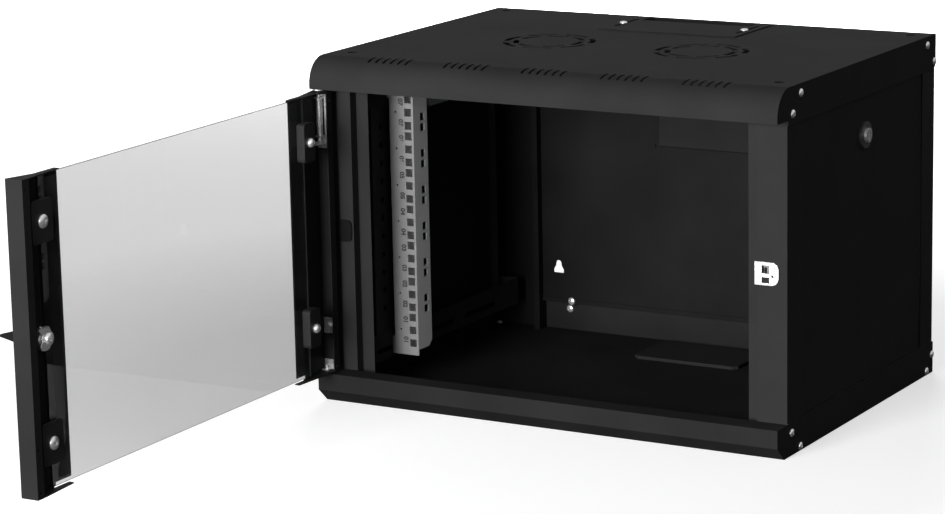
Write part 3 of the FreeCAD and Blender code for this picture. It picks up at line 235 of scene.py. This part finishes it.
def make_glass():
    """Clear grey-tinted pane that lets lamp light through, with painted shade on its upright edges,
    which are opaque and nearly black.
    """
    material, tree, shader = new_material("toughened_glass")
    # Painted shade: faces that look along Y, the pane's upright edges, get a nearly black colour and
    # no transmission.
    edge = facing_y(tree)
    tree.links.new(mix_colours(tree, edge, (0.52, 0.522, 0.52), (0.02, 0.024, 0.022)),
                   shader.inputs["Base Color"])
    tree.links.new(remap(tree, edge, 1.0, 0.0, start=0.0, end=1.0),
                   shader.inputs["Transmission Weight"])
    shader.inputs["Roughness"].default_value = 0.0
    shader.inputs["IOR"].default_value = 1.45
    shader.inputs["Specular IOR Level"].default_value = 0.05
    paths = tree.nodes.new("ShaderNodeLightPath")
    clear = tree.nodes.new("ShaderNodeBsdfTransparent")
    clear.inputs["Color"].default_value = (0.8, 0.8, 0.8, 1.0)
    mix_shaders(tree, paths.outputs["Is Shadow Ray"], shader.outputs["BSDF"],
                clear.outputs["BSDF"], "Material Output")
    return material


FINISH = {
    "coat": make_finish(
        "black_powder_coat", ((0.026, 0.026, 0.027), (0.032, 0.032, 0.033)),
        rough=(0.64, 0.76), grain=1500.0, relief=0.00012, specular=0.03),
    # A darker copy of the black powder coat: painted shade.
    "coat_painted_shade": make_finish(
        "black_powder_coat_painted_shade", ((0.018, 0.018, 0.0187), (0.023, 0.023, 0.0237)),
        rough=(0.54, 0.66), grain=1500.0, relief=0.00012, specular=0.04, edge=0.0003),
    # A much darker copy of the black powder coat: painted shade for the parts deep inside the case.
    "painted_deep_shade": make_finish(
        "black_powder_coat_painted_deep_shade", ((0.007, 0.007, 0.0074), (0.011, 0.011, 0.0114)),
        rough=(0.46, 0.58), grain=1400.0, relief=0.00012, specular=0.08),
    "plastic": make_finish(
        "moulded_black_plastic", ((0.016, 0.016, 0.017), (0.022, 0.022, 0.023)),
        rough=(0.42, 0.55), grain=2200.0, relief=0.00006, specular=0.2, edge=0.0008),
    "grey_plastic": make_finish(
        "moulded_grey_plastic", ((0.045, 0.045, 0.046), (0.06, 0.06, 0.061)),
        rough=(0.40, 0.52), grain=2200.0, relief=0.00005, specular=0.35, edge=0.0008),
    "rubber": make_finish(
        "rubber_pad", ((0.014, 0.014, 0.014), (0.02, 0.02, 0.02)),
        rough=(0.7, 0.85), grain=1200.0, relief=0.0001, specular=0.2),
    "key": make_finish(
        "key_plastic", ((0.004, 0.004, 0.004), (0.007, 0.007, 0.007)),
        rough=(0.55, 0.7), grain=1800.0, relief=0.00004, specular=0.1, edge=0.0006),
    "zinc": make_finish(
        "zinc_plate", ((0.80, 0.80, 0.80), (0.90, 0.90, 0.91)),
        rough=(0.26, 0.40), grain=900.0, relief=0.00005, patch=60.0, metallic=0.75, edge=0.0004),
    # Painted shade on the rail's faces that look along Y, which keep a quarter of the colour.
    "rail": make_finish(
        "zinc_plated_rail", ((0.88, 0.88, 0.885), (0.96, 0.96, 0.965)),
        rough=(0.38, 0.50), grain=700.0, relief=0.00005, patch=25.0, metallic=0.1, edge=0.0006,
        stretch=(1.0, 1.0, 0.12), painted_shade_share=0.25),
    "print": make_finish(
        "black_print", ((0.02, 0.02, 0.02), (0.03, 0.03, 0.03)),
        rough=(0.5, 0.6), grain=1500.0, relief=0.00002, edge=0.0001),
    "glass": make_glass(),
}

NODE_FINISHES = {
    "coat": (
        "top_cover", "front_post_left", "front_post_right", "top_cable_plate",
        "side_panel_left", "side_panel_right", "floor_cable_plate", "brace_lower_left",
        "brace_lower_right", "brace_upper_left", "brace_upper_right",
    ),
    # These parts get the darker copy of the coat, as painted shade.
    "coat_painted_shade": ("bottom_cover", "hinge_profile", "lock_profile", "rear_cable_plate"),
    # Parts deep inside the case get the much darker copy of the coat, as painted shade.
    "painted_deep_shade": (
        "rear_post_left", "rear_post_right", "depth_strip_left", "depth_strip_right",
        "rear_panel", "rear_panel_screws",
    ),
    "plastic": (
        "hinge_clamp_lower", "hinge_clamp_upper", "lock_clamp_lower", "lock_clamp_upper",
    ),
    "key": ("door_key", "post_pad"),
    "grey_plastic": ("side_lock_body_left", "side_lock_body_right"),
    "rubber": ("glass_pad_hinge", "glass_pad_lock"),
    "rail": ("rail_left", "rail_right"),
    "glass": ("glass_panel",),
}


def dress_nodes():
    """Give each node of the model its finish; what isn't named is zinc plated."""
    finishes = {node: key for key, nodes in NODE_FINISHES.items() for node in nodes}
    for name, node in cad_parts.items():
        for part in node.material_slots:
            part.material = FINISH[finishes.get(name, "zinc")]


# Mesh helpers

def add_object(name, mesh, finish, body):
    """A new piece that rides on a body."""
    piece = bpy.data.objects.new(name, mesh)
    bpy.context.scene.collection.objects.link(piece)
    mesh.materials.clear()
    mesh.materials.append(FINISH[finish])
    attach(piece, body)
    return piece


def to_mesh(name, solid, smooth=True):
    """Turn working geometry into a mesh."""
    mesh = bpy.data.meshes.new(name)
    solid.to_mesh(mesh)
    solid.free()
    for face in mesh.polygons:
        face.use_smooth = smooth
    return mesh


def sharpen(mesh):
    """Keep the edges crisp where faces meet at more than 35 degrees."""
    mesh.set_sharp_from_angle(angle=math.radians(35))
    return mesh


def lathe(profile, segments=40):
    """A closed solid of revolution about Z from pairs of radius and height."""
    solid = bmesh.new()
    turns = [math.tau * step / segments for step in range(segments)]
    rings = []
    for radius, height in profile:
        if radius == 0.0:
            rings.append([solid.verts.new((0.0, 0.0, height))])
        else:
            rings.append([solid.verts.new((radius * math.cos(turn), radius * math.sin(turn), height))
                          for turn in turns])
    for lower, upper in zip(rings, rings[1:]):
        for step in range(segments):
            after = (step + 1) % segments
            corners = []
            for vertex in (lower[step % len(lower)], lower[after % len(lower)],
                           upper[after % len(upper)], upper[step % len(upper)]):
                if vertex not in corners:
                    corners.append(vertex)
            solid.faces.new(corners)
    bmesh.ops.recalc_face_normals(solid, faces=solid.faces)
    return solid


def join_rings(solid, rings):
    """Close equal rings of corners into a skin with two end faces."""
    for lower, upper in zip(rings, rings[1:]):
        for index in range(len(lower)):
            after = (index + 1) % len(lower)
            solid.faces.new((lower[index], lower[after], upper[after], upper[index]))
    solid.faces.new(rings[0][::-1])
    solid.faces.new(rings[-1])
    bmesh.ops.recalc_face_normals(solid, faces=solid.faces)


def tube(name, points, radius, sides=8):
    """A round wire along a list of points."""
    solid = bmesh.new()
    rings = []
    for index, point in enumerate(points):
        before, after = points[max(index - 1, 0)], points[min(index + 1, len(points) - 1)]
        turn = (after - before).to_track_quat("Z", "Y")
        ring = []
        for side in range(sides):
            angle = math.tau * side / sides
            offset = turn @ Vector((radius * math.cos(angle), radius * math.sin(angle), 0.0))
            ring.append(solid.verts.new(point + offset))
        rings.append(ring)
    join_rings(solid, rings)
    return to_mesh(name, solid)


def cross_cutter(reach, width, depth, top):
    """Two crossed wedges, wider at the top, that cut a driver's recess."""
    solid = bmesh.new()
    for turn in (0.0, math.pi / 2):
        added = bmesh.ops.create_cone(solid, cap_ends=True, segments=4, radius1=reach * 0.35,
                                      radius2=reach * 1.25, depth=depth * 2)
        spin = Matrix.Rotation(math.pi / 4, 4, "Z")
        shape = Matrix.Diagonal((1.41, width / reach, 1.0, 1.0))
        place = Matrix.Translation((0.0, 0.0, top)) @ Matrix.Rotation(turn, 4, "Z")
        bmesh.ops.transform(solid, matrix=place @ shape @ spin, verts=added["verts"])
    return solid


def carve(name, solid, cutter):
    """The solid with the cutter taken away."""
    whole = bpy.data.objects.new(name, to_mesh(name, solid))
    tool = bpy.data.objects.new(name + "_cutter", to_mesh(name + "_cutter", cutter))
    for item in (whole, tool):
        bpy.context.scene.collection.objects.link(item)
    taken = whole.modifiers.new("recess", "BOOLEAN")
    taken.operation = "DIFFERENCE"
    taken.solver = "EXACT"
    taken.use_self = True
    taken.object = tool
    graph = bpy.context.evaluated_depsgraph_get()
    mesh = bpy.data.meshes.new_from_object(whole.evaluated_get(graph))
    bpy.data.objects.remove(whole)
    bpy.data.objects.remove(tool)
    return sharpen(mesh)


def make_screw(name, head, height, shank, length):
    """A domed screw with a rim and a cross recess, pointing down from zero."""
    dome = [(head * math.cos(turn), height * 0.35 + height * 0.65 * math.sin(turn))
            for turn in (0.0, 0.3, 0.6, 0.9, 1.2)]
    profile = [(0.0, -length), (shank * 0.8, -length), (shank, -length + shank * 0.4),
               (shank, 0.0), (head * 0.97, 0.0), (head, height * 0.12), *dome, (0.0, height)]
    cutter = cross_cutter(head * 0.52, head * 0.2, height * 0.75, height)
    return carve(name, lathe(profile), cutter)


def towards(direction, place, spin=0.0):
    """The placing of a shape that points up, turned to a direction and moved."""
    turn = Vector(direction).to_track_quat("Z", "Y").to_matrix().to_4x4()
    return Matrix.Translation(place) @ turn @ Matrix.Rotation(spin, 4, "Z")


def gather(name, parts):
    """One mesh from placed copies of others."""
    whole = bmesh.new()
    for mesh, placing in parts:
        before = set(whole.verts)
        whole.from_mesh(mesh)
        added = [vertex for vertex in whole.verts if vertex not in before]
        bmesh.ops.transform(whole, matrix=placing, verts=added)
    return sharpen(to_mesh(name, whole))


# Pieces that stand for plain solids of the model

def add_screws(name, parts, body):
    """One piece of placed screws."""
    return add_object(name, gather(name, parts), "zinc", body)


def dress_cover_screws():
    """Cross-recessed screws in the covers and over the roof's cable plate."""
    cover = make_screw("cover_screw", head=0.0046, height=0.0026, shank=0.0019, length=0.008)
    spots = [(side, y, z) for side in SIDES.values() for y, z in COVER_SCREWS]
    parts = [(cover, towards((side, 0, 0), (side * CASE_SIDE, y, z), 0.7 * index))
             for index, (side, y, z) in enumerate(spots)]
    piece = add_screws("cover_screw_set", parts, "cabinet")
    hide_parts("cover_screws")

    plate = make_screw("plate_screw", head=0.0046, height=0.0026, shank=0.0019, length=0.007)
    parts = [(plate, towards((0, 0, 1), (side * ROOF_SCREW_X, ROOF_SCREW_Y, ROOF_SCREW_Z), side))
             for side in SIDES.values()]
    piece = add_screws("roof_screw_set", parts, "cabinet")
    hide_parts("top_plate_screws")


def dress_door_screws():
    """Cross-recessed screws in the door's clamps and lock."""
    parts = []
    for index, (place, head, height) in enumerate(CLAMP_SCREWS):
        screw = make_screw("clamp_screw", head, height, shank=0.0025,
                           length=place[1] - CLAMP_SCREW_TIP)
        parts.append((screw, DOOR @ towards((0, 1, 0), place, 0.5 + 0.9 * index)))
    piece = add_screws("clamp_screw_set", parts, "door")
    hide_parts("clamp_screws")

    screw = make_screw("claw_screw_shape", head=0.0062, height=0.0028, shank=0.0020, length=0.008)
    parts = [(screw, DOOR @ towards((0, 1, 0), CLAW_SCREW, 0.4))]
    piece = add_screws("claw_screw_recessed", parts, "door_lock")
    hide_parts("claw_screw")


def dress_earth_bolts():
    """Cross-recessed bolts at the foot of the rear wall."""
    parts = []
    for place, length in EARTH_BOLTS:
        bolt = make_screw("earth_bolt", head=0.0050, height=0.0032, shank=0.0025, length=length)
        parts.append((bolt, towards((0, -1, 0), place, 0.3)))
    piece = add_screws("earth_bolt_set", parts, "cabinet")
    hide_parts("earth_bolts")


def dress_spring():
    """A wound spring in place of the plain tube round the hinge pin."""
    foot, wire, steps, end_room = SPRING_FOOT, 0.00042, 14, 0.0005
    centre = HINGE.to_2d()
    low, high = foot + end_room, SPRING_TOP - end_room
    points = []
    for step in range(SPRING_TURNS * steps + 1):
        angle = math.tau * step / steps
        around = Vector((math.cos(angle), math.sin(angle))) * SPRING_RADIUS
        height = low + (high - low) * step / (SPRING_TURNS * steps)
        points.append(Vector((*(centre + around), height)))
    spring = add_object("wound_spring", tube("wound_spring", points, wire), "zinc", "door")
    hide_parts("hinge_spring")
    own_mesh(spring)


# Pieces that the scene adds to the rails

def make_figures(name, text):
    """A thin mesh of figures that lies flat and faces up."""
    curve = bpy.data.curves.new(name, "FONT")
    curve.body = text
    curve.size = FIGURE_SIZE
    curve.extrude = FIGURE_HALF
    curve.offset = FIGURE_WEIGHT
    curve.align_x = "CENTER"
    curve.align_y = "CENTER"
    writing = bpy.data.objects.new(name, curve)
    bpy.context.scene.collection.objects.link(writing)
    graph = bpy.context.evaluated_depsgraph_get()
    mesh = bpy.data.meshes.new_from_object(writing.evaluated_get(graph))
    bpy.data.objects.remove(writing)
    return mesh


def add_unit_numbers(name, side):
    """Each unit's number twice on a rail's front face, turned to read downwards."""
    upright = Matrix.Rotation(math.radians(90), 4, "X") @ Matrix.Rotation(math.radians(-90), 4, "Z")
    parts = []
    for unit in range(1, UNITS + 1):
        figures = make_figures(f"figures_{unit}", f"{unit:02d}")
        middle = UNITS_FOOT + UNIT * (unit - 0.5)
        for rise in (FIGURE_RISE, -FIGURE_RISE):
            place = (side * FIGURE_X, RAIL_FACE - FIGURE_HALF, middle + rise)
            parts.append((figures, Matrix.Translation(place) @ upright))
    numbers = f"unit_numbers_{name}"
    add_object(numbers, gather(numbers, parts), "print", f"rail_{name}")


def add_backing(name, side):
    """A bent strip behind a rail's front holes, seen through them."""
    low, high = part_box(f"rail_{name}")
    outline = (
        (BACKING_INNER, BACKING_FRONT),
        (BACKING_OUTER, BACKING_FRONT),
        (BACKING_OUTER, BACKING_FRONT + BACKING_SHEET),
        (BACKING_INNER + BACKING_SHEET, BACKING_FRONT + BACKING_SHEET),
        (BACKING_INNER + BACKING_SHEET, BACKING_REAR),
        (BACKING_INNER, BACKING_REAR),
    )
    solid = bmesh.new()
    rings = [[solid.verts.new((side * x, low[1] + depth, height)) for x, depth in outline]
             for height in (low[2] + BACKING_SHORTER, high[2] - BACKING_SHORTER)]
    join_rings(solid, rings)
    backing = f"rail_backing_{name}"
    add_object(backing, to_mesh(backing, solid, smooth=False), "rail", f"rail_{name}")


def dress_rails():
    """Figures on the rails, and strips behind their holes."""
    for name, side in SIDES.items():
        add_backing(name, side)
        add_unit_numbers(name, side)


# The room

def make_floor():
    """A pale floor that the camera sees as white, with the object's shadow on it."""
    mesh = bpy.data.meshes.new("floor")
    reach = 14.0
    mesh.from_pydata([(-reach, -reach, 0), (reach, -reach, 0), (reach, reach, 0),
                      (-reach, reach, 0)], [], [(0, 1, 2, 3)])
    floor = bpy.data.objects.new("floor", mesh)
    bpy.context.scene.collection.objects.link(floor)
    material, tree, shader = new_material("pale_floor")
    shader.inputs["Roughness"].default_value = 0.9
    shader.inputs["Specular IOR Level"].default_value = 0.0
    seen = seen_directly(tree, tree.nodes.new("ShaderNodeLightPath"))
    tree.links.new(mix_colours(tree, seen, (0.08, 0.08, 0.08), (0.82, 0.82, 0.82)),
                   shader.inputs["Base Color"])
    place = tree.nodes.new("ShaderNodeTexCoord")
    distance = tree.nodes.new("ShaderNodeVectorMath")
    distance.operation = "LENGTH"
    tree.links.new(place.outputs["Object"], distance.inputs[0])
    glow = remap(tree, distance.outputs["Value"], 0.62, 1.0, start=0.58, end=1.1)
    shader.inputs["Emission Color"].default_value = (1.0, 1.0, 1.0, 1.0)
    tree.links.new(combine(tree, "MULTIPLY", seen, glow), shader.inputs["Emission Strength"])
    mesh.materials.append(material)


def make_world():
    """White for the camera, glass and metal, and a soft light for the rest."""
    world = bpy.data.worlds.new("studio")
    bpy.context.scene.world = world
    world.use_nodes = True
    tree = world.node_tree
    soft = tree.nodes["Background"]
    soft.inputs["Color"].default_value = (1.0, 1.0, 1.0, 1.0)
    sideways = remap(tree, coordinate(tree, "Generated", "X"), 0.15, 0.22, start=-0.4, end=0.4)
    upwards = remap(tree, coordinate(tree, "Generated", "Z"), 1.0, 0.05, start=0.2, end=0.9)
    tree.links.new(combine(tree, "MULTIPLY", sideways, upwards), soft.inputs["Strength"])
    white = tree.nodes.new("ShaderNodeBackground")
    white.inputs["Strength"].default_value = 1.0
    paths = tree.nodes.new("ShaderNodeLightPath")
    bright = combine(tree, "ADD", seen_directly(tree, paths), paths.outputs["Is Glossy Ray"],
                     clamp=True)
    mix_shaders(tree, bright, soft.outputs["Background"], white.outputs["Background"],
                "World Output")


def make_lamp(name, place, aim, size, power, mirrored):
    """A soft square lamp that points at a spot; mirrored says if shiny surfaces show it."""
    lamp = bpy.data.lights.new(name, "AREA")
    lamp.size = size
    lamp.energy = power
    holder = bpy.data.objects.new(name, lamp)
    bpy.context.scene.collection.objects.link(holder)
    holder.visible_glossy = mirrored
    holder.location = place
    holder.rotation_euler = (Vector(aim) - Vector(place)).to_track_quat("-Z", "Y").to_euler()


def make_camera():
    """The photograph's camera."""
    lens = bpy.data.cameras.new("camera")
    lens.lens = LENS
    lens.sensor_width = 36.0
    lens.sensor_fit = "HORIZONTAL"
    lens.clip_end = 60.0
    camera = bpy.data.objects.new("camera", lens)
    bpy.context.scene.collection.objects.link(camera)
    turn = Matrix((CAMERA_RIGHT, -CAMERA_DOWN, -CAMERA_AHEAD)).transposed().to_4x4()
    camera.matrix_world = Matrix.Translation(CAMERA_PLACE) @ turn
    bpy.context.scene.camera = camera


dress_nodes()
dress_cover_screws()
dress_door_screws()
dress_earth_bolts()
dress_spring()
dress_rails()
make_floor()
make_world()
make_lamp("key_lamp", (-0.2, -3.3, 0.68), aim=(0.0, -0.1, 0.2), size=1.3, power=145.0,
          mirrored=True)
make_lamp("rear_lamp", (-1.5, 3.2, 0.6), aim=(0.0, 0.1, 0.2), size=1.4, power=110.0,
          mirrored=False)
make_camera()
bpy.context.scene.view_settings.view_transform = "Standard"
